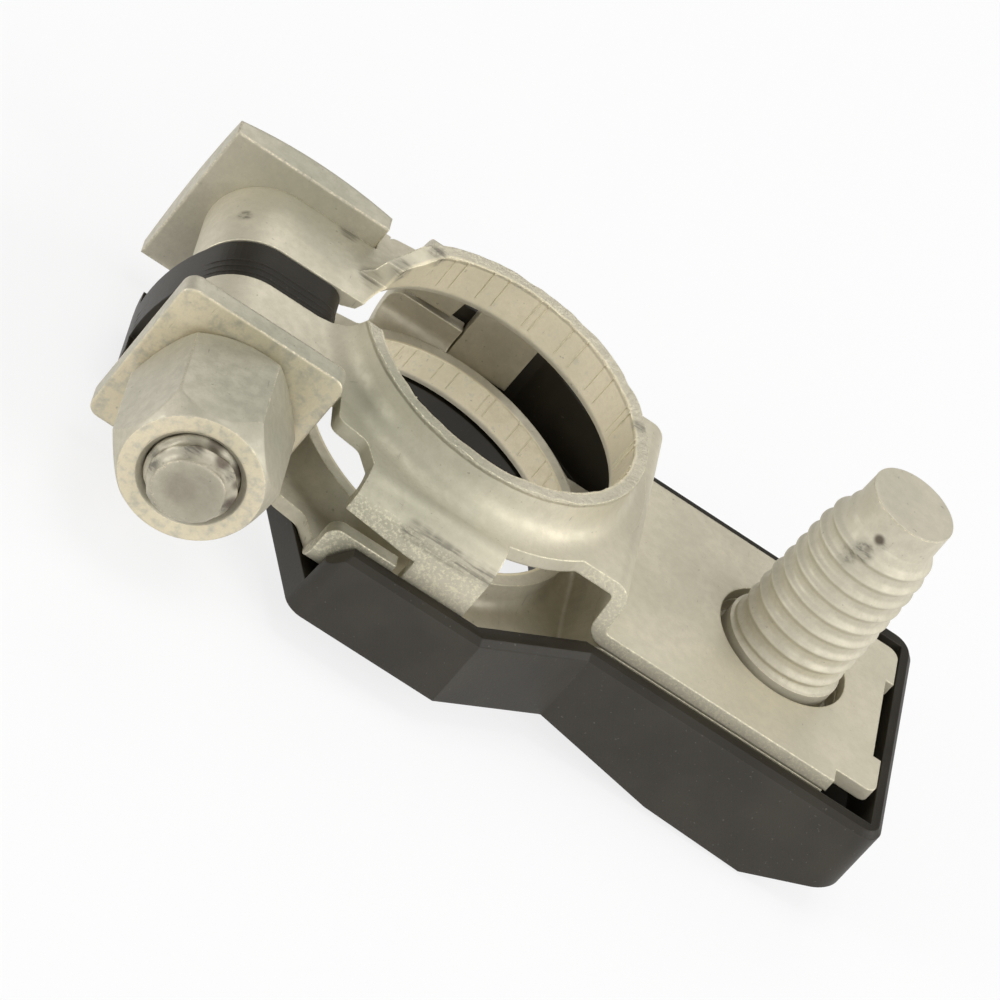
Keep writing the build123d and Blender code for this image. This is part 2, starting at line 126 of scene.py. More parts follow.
# mesh work, in metres: points that are one, points that lie level, rims that are one circle
WELD, LEVEL, SAME_CIRCLE = 2e-6, 2e-5, 5e-5
# faces that meet within this many degrees are one flat face
FLAT_WITHIN = 0.4

# plain colours
TIN = (0.625, 0.575, 0.445)
STEEL = (0.535, 0.497, 0.390)
STUD_STEEL = (0.565, 0.525, 0.415)
GRIME = (0.085, 0.062, 0.042, 1.0)

# sockets of a colour mix: the share, the two colours and the result
MIX_SHARE, MIX_FIRST, MIX_SECOND, MIX_RESULT = 0, 6, 7, 2
# sockets of a random number: the least, the most and the result
RANDOM_LEAST, RANDOM_MOST, RANDOM_RESULT = 2, 3, 1

# camera, in metres, with its roll in degrees
CAMERA_PLACE = (-0.099091, -0.378046, 0.246029)
CAMERA_BACK = (-0.22420, -0.81508, 0.53420)
CAMERA_ROLL, CAMERA_LENS, CAMERA_SENSOR = 41.224, 267.39, 36.0

# studio, in metres and watts
ROOM_LIGHT = 0.30
LAMP_SIZE = 0.5
LAMPS = (
    ("front", (0.10, -0.80, 0.30), 1.6),
    ("right_front", (0.60, -0.50, 0.45), 3.0),
    ("right_back", (0.75, 0.10, 0.45), 2.6),
    ("above", (0.0, 0.0, 0.87), 2.1),
    ("behind", (0.0, 0.70, 0.50), 1.0),
    ("left_low", (-0.80, -0.25, 0.15), 3.6),
)
FLOOR_DROP, FLOOR_HALF = 0.0002, 3.0
FLOOR_TONE, FLOOR_GLOW = 0.80, 0.80


# ---------------------------------------------------------------- node helpers
def feed(tree, value, target):
    """Sets a socket to a plain value, or joins another node's output to it."""
    if isinstance(value, (int, float, tuple)):
        target.default_value = value
    else:
        tree.links.new(value, target)


def arithmetic(tree, operation, first, second=0.0, clamp=False):
    """One step of arithmetic between plain values or outputs of other nodes."""
    node = tree.nodes.new("ShaderNodeMath")
    node.operation = operation
    node.use_clamp = clamp
    feed(tree, first, node.inputs[0])
    feed(tree, second, node.inputs[1])
    return node.outputs[0]


class Recipe:
    """A material's nodes, with short calls for the ones used over and over."""

    def __init__(self, name):
        self.material = bpy.data.materials.new(name)
        self.material.use_nodes = True
        self.tree = self.material.node_tree
        self.shader = self.tree.nodes["Principled BSDF"]
        place = self.add("ShaderNodeTexCoord")
        scale = self.add("ShaderNodeMapping")
        scale.inputs["Scale"].default_value = (1 / MM, 1 / MM, 1 / MM)
        self.join(place.outputs["Object"], scale.inputs["Vector"])
        self.mm = scale.outputs["Vector"]

    def add(self, kind):
        return self.tree.nodes.new(kind)

    def join(self, source, target):
        self.tree.links.new(source, target)

    def maths(self, operation, first, second=0.0, clamp=False):
        return arithmetic(self.tree, operation, first, second, clamp)

    def times(self, first, second):
        return self.maths("MULTIPLY", first, second)

    def stretched(self, scale, turn=(0.0, 0.0, 0.0)):
        """The place on the part, scaled and turned for a grain that runs one way."""
        node = self.add("ShaderNodeMapping")
        node.inputs["Scale"].default_value = scale
        node.inputs["Rotation"].default_value = turn
        self.join(self.mm, node.inputs["Vector"])
        return node.outputs["Vector"]

    def grain(self, per_mm, detail, rough, where=None):
        """Soft random grain with that many grains in a millimetre."""
        node = self.add("ShaderNodeTexNoise")
        node.inputs["Scale"].default_value = per_mm
        node.inputs["Detail"].default_value = detail
        node.inputs["Roughness"].default_value = rough
        self.join(where or self.mm, node.inputs["Vector"])
        return node.outputs["Fac"]

    def ramp(self, value, low, high, smooth=True):
        """0 where the value is at low, 1 where it is at high."""
        node = self.add("ShaderNodeMapRange")
        node.interpolation_type = "SMOOTHSTEP" if smooth else "LINEAR"
        node.inputs["From Min"].default_value = low
        node.inputs["From Max"].default_value = high
        self.join(value, node.inputs["Value"])
        return node.outputs["Result"]

    def blend(self, share, first, second, mode="MIX", clamp=False):
        """The first colour where share is 0, the second where it is 1."""
        node = self.add("ShaderNodeMix")
        node.data_type = "RGBA"
        node.blend_type = mode
        node.clamp_result = clamp
        feed(self.tree, share, node.inputs[MIX_SHARE])
        feed(self.tree, first, node.inputs[MIX_FIRST])
        feed(self.tree, second, node.inputs[MIX_SECOND])
        return node.outputs[MIX_RESULT]

    def lift(self, share, colour, gain):
        """The colour made brighter or darker by that gain, where share is 1."""
        return self.blend(share, colour, gain + (1.0,), "MULTIPLY", True)

    def parts(self, vector):
        """The X, Y and Z of a vector."""
        node = self.add("ShaderNodeSeparateXYZ")
        self.join(vector, node.inputs[0])
        return node.outputs["X"], node.outputs["Y"], node.outputs["Z"]

    def facing(self):
        """The X, Y and Z of the way that a face looks."""
        return self.parts(self.add("ShaderNodeNewGeometry").outputs["True Normal"])

    def height(self):
        """Height of the point in millimetres."""
        return self.parts(self.mm)[2]

    def reach(self):
        """Distance of the point from the post axis in millimetres."""
        x, y, _ = self.parts(self.mm)
        return self.maths("SQRT", self.maths("ADD", self.times(x, x), self.times(y, y)))

    def facing_along_bolt(self):
        """1 on faces turned square to the bolt."""
        _, along, _ = self.facing()
        return self.ramp(self.maths("ABSOLUTE", along), 0.90, 0.99)

    def facing_up(self):
        """1 on level faces that look up."""
        _, _, up = self.facing()
        return self.ramp(up, 0.5, 0.9)

    def sheared(self):
        """1 on the upright faces of the front flange and along the front of the stud plate."""
        _, _, up = self.facing()
        standing = self.ramp(self.maths("ABSOLUTE", up), 0.5, 0.2)
        x, y, _ = self.parts(self.mm)
        flange = self.ramp(y, -12.3, -13.0)
        plate = self.times(self.ramp(x, 9.0, 9.6), self.ramp(y, -8.0, -8.5))
        return self.times(standing, self.maths("MAXIMUM", flange, plate))

    def spot(self, centre, reach):
        """1 at a place on the part, fading to 0 at that reach, in millimetres."""
        node = self.add("ShaderNodeVectorMath")
        node.operation = "DISTANCE"
        self.join(self.mm, node.inputs[0])
        node.inputs[1].default_value = centre
        return self.ramp(node.outputs["Value"], reach, reach * 0.35)

    def dents(self, height, depth_mm, under):
        """Fine relief over the normals under it."""
        node = self.add("ShaderNodeBump")
        node.inputs["Strength"].default_value = 1.0
        node.inputs["Distance"].default_value = depth_mm * MM
        self.join(height, node.inputs["Height"])
        self.join(under, node.inputs["Normal"])
        return node.outputs["Normal"]

    def soft_edges(self, radius_mm):
        """Normals rounded over the edges, and how much a point belongs to an edge."""
        round_over = self.add("ShaderNodeBevel")
        round_over.samples = 8
        round_over.inputs["Radius"].default_value = radius_mm * MM
        flat = self.add("ShaderNodeNewGeometry")
        meet = self.add("ShaderNodeVectorMath")
        meet.operation = "DOT_PRODUCT"
        self.join(round_over.outputs["Normal"], meet.inputs[0])
        self.join(flat.outputs["Normal"], meet.inputs[1])
        return round_over.outputs["Normal"], self.ramp(meet.outputs["Value"], 0.995, 0.85)


def shade(tint, share):
    """A tint made lighter or darker."""
    return tuple(min(part * share, 0.92) for part in tint) + (1.0,)


# ---------------------------------------------------------------- plated finishes
def plate_colour(r, tint, mottle, fine, coarse):
    """The plate's colour: cloudy patches with a fine mottle over them."""
    mottled = r.times(r.ramp(fine, 0.30, 0.70, smooth=False), 0.5)
    patchy = r.times(r.ramp(coarse, 0.3, 0.7), 0.5)
    tone = r.times(r.maths("ADD", mottled, patchy), 0.8 * mottle)
    base = r.blend(tone, shade(tint, 1.07), shade(tint, 0.86))
    cloudy = r.times(r.ramp(r.grain(0.20, 3.0, 0.5), 0.40, 0.62), 0.45)
    return r.blend(cloudy, base, shade((tint[0] * 0.98, tint[1], tint[2] * 0.99), 0.86))


def pits_and_scratches(r, coarse):
    """Small pits, and hairline scratches that cross each other."""
    pits = r.ramp(r.grain(3.2, 2.0, 0.5), 0.70, 0.78)
    one_way = r.grain(1.0, 2.0, 0.6, r.stretched((7.0, 0.45, 0.45), (0.2, 0.3, 0.7)))
    other_way = r.grain(1.0, 2.0, 0.6, r.stretched((0.5, 8.0, 0.6), (0.4, 0.1, -0.5)))
    hairs = r.maths("ADD", r.ramp(one_way, 0.70, 0.76), r.ramp(other_way, 0.71, 0.77), clamp=True)
    hairs = r.times(hairs, r.ramp(coarse, 0.45, 0.60))
    return r.times(r.maths("ADD", hairs, pits, clamp=True), 0.55)


def turned_painted_bright(r, base, strength, coarse):
    """Painted highlight: brightens the faces square to the bolt in patches, standing in for the
    bright floor that they mirror.
    """
    wear_and_sheen = r.times(r.facing_along_bolt(), r.ramp(coarse, 0.28, 0.62))
    return r.lift(r.times(wear_and_sheen, strength), base, (1.50, 1.43, 1.32))


def bores_polished_and_lit(r, base, coarse):
    """Brightens the bores, partly polish where they grip the post and partly painted light, and
    paints more light on the lower one, which lies deeper in shade.
    """
    wear_and_sheen = r.times(r.ramp(r.reach(), 9.75, 9.60), r.ramp(coarse, 0.12, 0.50))
    base = r.lift(wear_and_sheen, base, (1.30, 1.27, 1.21))
    # painted light: the lower bore made brighter still, as it lies deeper in shade
    lower = r.times(wear_and_sheen, r.ramp(r.height(), 0.0, -1.0))
    return r.lift(lower, base, (1.11, 1.11, 1.10))


def bare_metal_and_glints(r, edge, sandy_glints):
    """How much bright metal shows: edge wear, with painted glints over it and over the sheared
    faces.
    """
    glints = r.ramp(r.grain(4.5, 3.0, 0.75), 0.47, 0.63)
    bare_and_glints = r.times(edge, r.maths("ADD", r.times(glints, 0.8), 0.2))
    if sandy_glints:
        speckled = r.times(r.times(r.sheared(), glints), sandy_glints)
        bare_and_glints = r.maths("ADD", bare_and_glints, speckled, clamp=True)
    return bare_and_glints


def scraped(r, stains):
    """How dark the plate is where handling has scraped it in long smears."""
    near = None
    for centre, size in stains:
        here = r.spot(centre, size)
        near = here if near is None else r.maths("MAXIMUM", near, here)
    broken = r.ramp(r.grain(1.6, 3.0, 0.65, r.stretched((0.16, 1.7, 1.7))), 0.43, 0.62)
    return r.times(near, r.maths("ADD", r.times(broken, 0.65), 0.35))


def plated_metal(
    name, tint, edge_mm, matt, mottle=1.0, sandy_glints=0.0, turned=0.0, bores=False,
    painted_shade_at=(), stains=(), dirt=(), torn_above=None,
):
    """Satin tin plate: pale warm grey, mottled, bright on its edges with wear and painted glints,
    dark where it is rubbed, with painted highlight and painted shade where asked.

    Each place in stains has a centre and a reach; those in painted_shade_at and dirt a strength as
    well.
    """
    r = Recipe(name)
    fine = r.grain(6.5, 4.0, 0.7)
    coarse = r.grain(1.4, 3.0, 0.6)
    rounded, edge = r.soft_edges(edge_mm)
    marks = pits_and_scratches(r, coarse)
    base = r.blend(marks, plate_colour(r, tint, mottle, fine, coarse), shade(tint, 0.45))
    if turned:
        # painted highlight on the faces square to the bolt
        base = turned_painted_bright(r, base, turned, coarse)
    if bores:
        base = bores_polished_and_lit(r, base, coarse)
    # painted shade, with a faint green cast, over places that the lamps light too brightly
    for centre, size, strength in painted_shade_at:
        base = r.lift(r.times(r.spot(centre, size), strength), base, (0.69, 0.71, 0.69))
    # bright metal from edge wear with painted glints, then dark rubbed places and grime
    bare_and_glints = bare_metal_and_glints(r, edge, sandy_glints)
    base = r.blend(bare_and_glints, base, shade((tint[0] * 1.04, tint[1], tint[2] * 0.93), 1.5))
    relief = r.maths("ADD", r.times(fine, 0.6), r.times(marks, -0.9))
    if stains:
        rubbed = scraped(r, stains)
        base = r.blend(r.times(rubbed, 0.82), base, shade(tint, 0.22))
        relief = r.maths("SUBTRACT", relief, r.times(rubbed, 0.4))
    for centre, size, strength in dirt:
        base = r.blend(r.times(r.spot(centre, size), strength), base, GRIME)
    r.join(base, r.shader.inputs["Base Color"])

    r.shader.inputs["Metallic"].default_value = 0.48
    dull = r.maths("ADD", r.times(r.ramp(coarse, 0.3, 0.7), 0.12), matt)
    r.join(r.maths("SUBTRACT", dull, r.times(bare_and_glints, 0.12)), r.shader.inputs["Roughness"])
    normal = r.dents(relief, 0.018, rounded)
    if torn_above is not None:
        on_rim = r.ramp(r.height(), torn_above, torn_above + 0.25)
        normal = r.dents(r.times(r.grain(1.9, 4.0, 0.7), on_rim), 0.30, normal)
    r.join(normal, r.shader.inputs["Normal"])
    return r.material


def tinned_sheet():
    """The folded sheet: a smear along the front bend, scrapes by the slit and a torn rim."""
    smear = [((-1.9 + 0.8 * step, -14.2, 2.25), 0.95) for step in range(8)]
    scrapes = [
        ((-6.6, 7.3, 6.2), 0.9), ((-8.3, 5.2, 5.2), 1.1), ((-18.2, 4.8, 2.6), 0.7),
        ((-9.6, 4.6, 3.6), 1.2), ((9.4, 3.2, 6.4), 0.7), ((-11.6, 7.9, 3.4), 1.0),
    ]
    return plated_metal(
        # painted glints speckle the sheared faces of the front flange and the plate
        "tinned_sheet", TIN, 0.16, 0.46, sandy_glints=0.42, bores=True, torn_above=6.1,
        # painted shade over the collar's front and over the back near the bolt
        painted_shade_at=(((-5.5, -11.0, 3.6), 10.5, 1.0), ((-12.5, 7.5, 3.6), 6.0, 0.75)),
        stains=smear + scrapes,
    )


def plated_fastener():
    """The nut and the washer: painted highlight on their faces square to the bolt and painted shade
    on top.
    """
    return plated_metal(
        "plated_fastener", STEEL, 0.30, 0.44, mottle=1.25, turned=1.0,
        painted_shade_at=(((-14.0, -12.5, 5.5), 8.5, 0.85),),
    )


def at_bolt_end(turn, radius, height):
    """A place round the bolt's end, at a share of a turn from +X."""
    angle = turn * math.tau
    return (BOLT_X + radius * math.cos(angle), height, BOLT_Z + radius * math.sin(angle))


def plated_bolt():
    """The clamp bolt, with grime in the last turns of its thread and on its end."""
    # share of a turn, radius, height, reach, strength
    grime = (
        (0.02, 2.85, -18.8, 0.80, 0.8), (0.10, 2.95, -18.9, 0.55, 0.7),
        (0.21, 2.80, -19.0, 0.75, 0.8), (0.31, 2.90, -18.8, 0.60, 0.7),
        (0.44, 2.95, -18.8, 0.65, 0.8), (0.60, 2.80, -18.9, 0.50, 0.6),
        (0.88, 2.75, -19.1, 0.70, 0.7), (0.25, 3.0, -18.2, 0.9, 0.8),
        (0.12, 3.0, -18.1, 0.9, 0.8), (0.97, 3.0, -18.1, 0.9, 0.8),
        (0.6, 0.5, -19.6, 1.5, 0.22), (0.1, 0.4, -19.6, 3.4, 0.34),
    )
    rubbed_turns = (0.0, 0.17, 0.33, 0.5, 0.67, 0.83)
    return plated_metal(
        "plated_bolt", STEEL, 0.34, 0.44, mottle=1.25,
        # painted shade over the top of the bolt head
        painted_shade_at=(((-15.5, 10.5, 5.5), 7.0, 0.5),),
        stains=[(at_bolt_end(turn, 2.75, -19.0), 1.1) for turn in rubbed_turns],
        dirt=[(at_bolt_end(*place), reach, strength) for *place, reach, strength in grime],
    )


def plated_stud():
    """The stud, with a dirty nick near the top of its thread."""
    return plated_metal(
        "plated_stud", STUD_STEEL, 0.08, 0.54, mottle=0.9,
        stains=(((23.9, -2.4, 11.2), 1.0), ((23.2, -2.5, 10.3), 1.0), ((24.5, -2.6, 12.2), 0.8)),
        dirt=(((24.3, -2.05, 12.35), 0.50, 0.9), ((24.0, -2.45, 11.5), 0.45, 0.6)),
    )


def black_plastic():
    """Black moulded plastic with a warm cast, faint flow marks, a fine eroded texture and painted
    shade on the faces that look up.
    """
    r = Recipe("black_plastic")
    fine = r.grain(8.0, 2.0, 0.6)
    flow = r.ramp(r.grain(0.25, 3.0, 0.5), 0.3, 0.7)
    dust = r.ramp(r.grain(5.0, 1.0, 0.4), 0.74, 0.80)
    rounded, edge = r.soft_edges(0.15)
    upward = r.facing_up()
    base = r.blend(flow, (0.024, 0.0200, 0.0135, 1.0), (0.033, 0.0280, 0.0190, 1.0))
    # painted shade: faces that look up made darker, as they take the most light
    base = r.lift(upward, base, (0.60, 0.58, 0.53))
    base = r.blend(r.times(edge, 0.35), base, (0.062, 0.056, 0.044, 1.0))
    base = r.blend(r.times(dust, 0.5), base, (0.11, 0.10, 0.08, 1.0))
    r.join(base, r.shader.inputs["Base Color"])
    shine = r.maths("SUBTRACT", 0.42, r.times(upward, 0.24))
    r.join(shine, r.shader.inputs["Specular IOR Level"])
    r.join(r.maths("ADD", r.times(fine, 0.14), 0.44), r.shader.inputs["Roughness"])
    r.join(r.dents(fine, 0.010, rounded), r.shader.inputs["Normal"])
    return r.material


# ---------------------------------------------------------------- mesh helpers
def new_piece(name, mesh, material):
    """An object of that name, with one finish, linked to the scene."""
    mesh.name = name
    mesh.materials.clear()
    mesh.materials.append(material)
    piece = bpy.data.objects.new(name, mesh)
    bpy.context.scene.collection.objects.link(piece)
    return piece


def crease(work, degrees, inside=None):
    """Smooths all faces, with a crease wherever two of them meet more sharply than that."""
    work.normal_update()
    for face in work.faces:
        face.smooth = True
    for edge in work.edges:
        limit = degrees if inside is None or edge.is_convex else inside
        edge.smooth = edge.is_manifold and edge.calc_face_angle(math.pi) < math.radians(limit)


def finished_mesh(work, name):
    """The worked form as a mesh, without the normals that the frame's node brought along."""
    mesh = bpy.data.meshes.new(name)
    work.to_mesh(mesh)
    work.free()
    if "custom_normal" in mesh.attributes:
        mesh.attributes.remove(mesh.attributes["custom_normal"])
    return mesh


def merged_copy(node, dissolve=True):
    """The node's mesh as one closed skin."""
    work = bmesh.new()
    work.from_mesh(node.data)
    bmesh.ops.remove_doubles(work, verts=work.verts, dist=WELD)
    if dissolve:
        flat = math.radians(FLAT_WITHIN)
        bmesh.ops.dissolve_limit(work, angle_limit=flat, verts=work.verts, edges=work.edges)
    return work


def settle(piece):
    """Turns the piece's modifiers into its plain mesh."""
    steady = piece.evaluated_get(bpy.context.evaluated_depsgraph_get())
    mesh = bpy.data.meshes.new_from_object(steady)
    piece.modifiers.clear()
    piece.data = mesh
    return piece


def even_shading(piece):
    """Keeps flat faces flat where they run into a rounding."""
    weigh = piece.modifiers.new("even_shading", "WEIGHTED_NORMAL")
    weigh.keep_sharp = True
    weigh.weight = 90
    return settle(piece)


def share_between(value, start, end):
    """How far the value is from start to end, as a share from 0 to 1."""
    return min(max((value - start) / (end - start), 0.0), 1.0)


def arc(across, up, radius, start, end, steps):
    """Flat points along an arc about a centre, from one angle to the other in degrees."""
    angles = [math.radians(start + (end - start) * step / steps) for step in range(steps + 1)]
    return [
        (across + radius * math.cos(angle), up + radius * math.sin(angle)) for angle in angles
    ]


# ---------------------------------------------------------------- folded sheet
def rim_points(work):
    """The points along both edges of the upper collar's rim."""
    return [
        vert for vert in work.verts
        if abs(vert.co.z - UPPER_RIM * MM) < LEVEL
        and (BORE_R - 0.2) * MM < vert.co.xy.length < (UPPER_RIM_R + 0.2) * MM
    ]


def tear(vert):
    """Moves a point of the rim down and off its circle, by small chips and longer waves."""
    reach = vert.co.xy.length / MM
    across, along = vert.co.x / MM, vert.co.y / MM
    chip = noise.noise(Vector((across * CHIPS, along * CHIPS, reach)))
    wave = noise.noise(Vector((across * WAVES, along * WAVES, 3.0)))
    if reach < (BORE_R + UPPER_RIM_R) / 2:
        radius = BORE_R + INNER_CUT + INNER_CHIP * abs(chip)
        drop = INNER_DROP
    else:
        radius = UPPER_RIM_R - OUTER_CUT - OUTER_CHIP * abs(chip)
        drop = OUTER_DROP
    drop += CHIP_DROP * chip + WAVE_DROP * wave
    flat = vert.co.xy.normalized() * radius * MM
    vert.co = Vector((flat.x, flat.y, (UPPER_RIM - max(drop, 0.0)) * MM))


def pressed_sheet(node, material):
    """The folded sheet, with the drawn collar's rim torn and uneven."""
    work = merged_copy(node, dissolve=False)
    on_rim = set(rim_points(work))
    round_edges = [
        edge for edge in work.edges
        if edge.verts[0] in on_rim and edge.verts[1] in on_rim
        and abs(edge.verts[0].co.xy.length - edge.verts[1].co.xy.length) < SAME_CIRCLE
    ]
    bmesh.ops.subdivide_edges(work, edges=round_edges, cuts=RIM_CUTS)
    for vert in rim_points(work):
        tear(vert)
    bmesh.ops.triangulate(work, faces=[face for face in work.faces if len(face.verts) > 3])
    crease(work, 50)
    return even_shading(new_piece("pressed_sheet", finished_mesh(work, "pressed_sheet"), material))


# ---------------------------------------------------------------- threads
def crest(phase):
    """How far up a rolled thread's flank a point lies, from 0 in the root to 1 on the crest."""
    return (0.5 + 0.5 * math.cos(phase * math.tau)) ** THREAD_SHARPNESS


def outline_radius(height):
    """Radius of the stud over its thread's crests at a height."""
    for (low, start), (high, end) in zip(STUD_OUTLINE, STUD_OUTLINE[1:]):
        if height <= high:
            return start + (end - start) * max(height - low, 0.0) / (high - low)
    return STUD_OUTLINE[-1][1]


def stud_radius(height, turn):
    """Radius of the stud at a height and a share of a turn."""
    depth = STUD_THREAD_DEPTH
    depth *= share_between(height, STUD_THREAD_GONE, STUD_THREAD_FADES)
    depth *= share_between(height, STUD_NECK_Z, STUD_THREAD_GROWN)
    return outline_radius(height) - depth * (1.0 - crest(height / STUD_PITCH - turn))


def dint_depth(reach, turn):
    """How deep the bolt is dinted that far along its thread, at a share of a turn."""
    spin = Vector((math.cos(turn * math.tau), math.sin(turn * math.tau), 0.0)) * DINTS_ROUND
    rough = noise.noise(spin + Vector((0.0, 0.0, reach * DINTS_ALONG)))
    start = BOLT_THREAD_LENGTH - DINTED_LENGTH
    return abs(rough) * DINT_DEPTH * share_between(reach, start, start + 1.0)


def bolt_radius(reach, turn):
    """Radius of the bolt that far along its thread, from the ear towards its end."""
    cone = share_between(reach, BOLT_THREAD_LENGTH - BOLT_CONE, BOLT_THREAD_LENGTH)
    outside = BOLT_R + (BOLT_END_R - BOLT_R) * cone
    depth = BOLT_THREAD_DEPTH * min(reach / BOLT_THREAD_GROWN, 1.0) * (1.0 - BOLT_CONE_WORN * cone)
    groove = depth * (1.0 - crest(reach / BOLT_PITCH - turn))
    return outside - groove - dint_depth(reach, turn)


def even(radius):
    """The same radius all the way round."""
    return lambda turn: radius


def threaded(radius_at, along):
    """The radius round a thread at one place along it."""
    return lambda turn: radius_at(along, turn)


def turn_form(work, rows, around, place):
    """Adds a closed turned form: rows of (place along the axis, radius at a share of a turn)."""
    rings = []
    for along, radius in rows:
        turns = [step / around for step in range(around)]
        points = [place(along, radius(turn), turn * math.tau) for turn in turns]
        rings.append([work.verts.new(point) for point in points])
    for low, high in zip(rings, rings[1:]):
        join_rings(work, low, high)
    work.faces.new(rings[0][::-1])
    work.faces.new(rings[-1])


def join_rings(work, low, high):
    """Adds the faces between two rings of points."""
    for step in range(len(low)):
        after = (step + 1) % len(low)
        work.faces.new((low[step], low[after], high[after], high[step]))


def square_head(work):
    """Adds the stud's square head, with its rounded corners."""
    half = STUD_HEAD / 2 - STUD_HEAD_CORNER
    outline = []
    for quarter in range(4):
        middle = math.radians(45 + 90 * quarter)
        centre_x = STUD_X + math.copysign(half, math.cos(middle))
        centre_y = STUD_Y + math.copysign(half, math.sin(middle))
        start = 90 * quarter
        outline += arc(centre_x, centre_y, STUD_HEAD_CORNER, start, start + 90, 6)
    low, high = (
        [work.verts.new(Vector((x, y, z)) * MM) for x, y in outline]
        for z in (STUD_HEAD_TOP - STUD_HEAD_T, STUD_HEAD_TOP)
    )
    join_rings(work, low, high)
    work.faces.new(low[::-1])
    work.faces.new(high)


def on_stud(height, radius, angle):
    """A point of the stud, in metres."""
    x, y = STUD_X + radius * math.cos(angle), STUD_Y + radius * math.sin(angle)
    return Vector((x, y, height)) * MM


def threaded_stud(material):
    """The stud with its rolled thread, plain point, and square head under the plate."""
    rows = [(height, even(STUD_NECK_R)) for height in STUD_NECK_ROWS]
    for step in range(STUD_THREAD_ROWS):
        height = STUD_NECK_Z + step * STUD_ROW_STEP
        rows.append((height, threaded(stud_radius, height)))
    rows += [(STUD_TOP - below, even(radius)) for below, radius in STUD_POINT]
    work = bmesh.new()
    turn_form(work, rows, STUD_AROUND, on_stud)
    square_head(work)
    crease(work, 50)
    return new_piece("threaded_stud", finished_mesh(work, "threaded_stud"), material)


def on_bolt(reach, radius, angle):
    """A point of the bolt, that far from the start of its thread, in metres."""
    x, z = BOLT_X + radius * math.cos(angle), BOLT_Z + radius * math.sin(angle)
    return Vector((x, BOLT_THREAD_START + BOLT_LAP - reach * BOLT_DRAWN_OUT, z)) * MM


def threaded_bolt(node, material):
    """The clamp bolt: its own square domed head and neck, then a worn thread and dimpled end."""
    work = merged_copy(node)
    bmesh.ops.bisect_plane(
        work, geom=work.verts[:] + work.edges[:] + work.faces[:],
        plane_co=(0, BOLT_THREAD_START * MM, 0), plane_no=(0, 1, 0), clear_inner=True,
    )
    cut_edges = [edge for edge in work.edges if edge.is_boundary]
    bmesh.ops.holes_fill(work, edges=cut_edges, sides=0)
    rows = []
    for step in range(BOLT_ROWS + 1):
        reach = (BOLT_THREAD_LENGTH - BOLT_LAST_ROW) * step / BOLT_ROWS
        rows.append((reach, threaded(bolt_radius, reach)))
    rows += [(BOLT_THREAD_LENGTH - below, even(radius)) for below, radius in BOLT_TIP]
    turn_form(work, rows, BOLT_AROUND, on_bolt)
    crease(work, 40)
    return new_piece("threaded_bolt", finished_mesh(work, "threaded_bolt"), material)


# ---------------------------------------------------------------- tray
def is_ridge(edge, degrees):
    """Whether an edge stands out and turns by more than that."""
    sharp = math.radians(degrees)
    return edge.is_manifold and edge.is_convex and edge.calc_face_angle(0.0) > sharp


def raise_back_rim(work):
    """Raises the rim behind the sheet's back flange, most of all beside the collars."""
    for vert in work.verts:
        if vert.co.y > BACK_RIM_Y * MM and vert.co.z > BACK_RIM_Z * MM:
            share = share_between(vert.co.x / MM, BACK_RIM_LOW_X, BACK_RIM_HIGH_X)
            vert.co.z += (BACK_RIM_LIFT + BACK_RIM_MORE * share) * MM


def softened_tray(node, material):
    """The moulded tray with its edges rounded, most of all at the corners of its wide end."""
    work = merged_copy(node)
    work.normal_update()
    corners = [
        edge for edge in work.edges
        if is_ridge(edge, 60)
        and all(abs(abs(vert.co.y) - TRAY_HALF_WIDTH * MM) < LEVEL for vert in edge.verts)
        and all(vert.co.x < TRAY_WAIST_X * MM for vert in edge.verts)
    ]
    bmesh.ops.bevel(
        work, geom=corners, offset=TRAY_CORNER_R * MM, segments=5, profile=0.5,
        affect="EDGES", clamp_overlap=False,
    )
    edges = [edge for edge in work.edges if is_ridge(edge, 18)]
    bmesh.ops.bevel(
        work, geom=edges, offset=TRAY_EDGE_R * MM, segments=2, profile=0.5,
        affect="EDGES", clamp_overlap=True,
    )
    raise_back_rim(work)
    crease(work, 40, inside=15)
    return even_shading(new_piece("softened_tray", finished_mesh(work, "softened_tray"), material))


# ---------------------------------------------------------------- repeated forms
def open_tree(name, inputs):
    """A tree of geometry nodes with named inputs: the tree, their identifiers and their outputs."""
    tree = bpy.data.node_groups.new(name, "GeometryNodeTree")
    sockets = {}
    for key, kind in inputs:
        socket = tree.interface.new_socket(name=key, in_out="INPUT", socket_type=kind)
        sockets[key] = socket.identifier
    tree.interface.new_socket(name="Geometry", in_out="OUTPUT", socket_type="NodeSocketGeometry")
    return tree, sockets, tree.nodes.new("NodeGroupInput").outputs


def close_tree(tree, copies, given):
    """Ends a tree: its copies are made real and take their finish."""
    add, join = tree.nodes.new, tree.links.new
    real = add("GeometryNodeRealizeInstances")
    join(copies, real.inputs[0])
    finish = add("GeometryNodeSetMaterial")
    join(real.outputs[0], finish.inputs["Geometry"])
    join(given["Finish"], finish.inputs["Material"])
    join(finish.outputs[0], add("NodeGroupOutput").inputs[0])


def grow(piece, tree, sockets, sizes):
    """Runs a tree on the piece with those sizes, and keeps what it makes as a plain mesh."""
    modifier = piece.modifiers.new(tree.name, "NODES")
    modifier.node_group = tree
    for key, value in sizes:
        modifier[sockets[key]] = value
    return settle(piece)


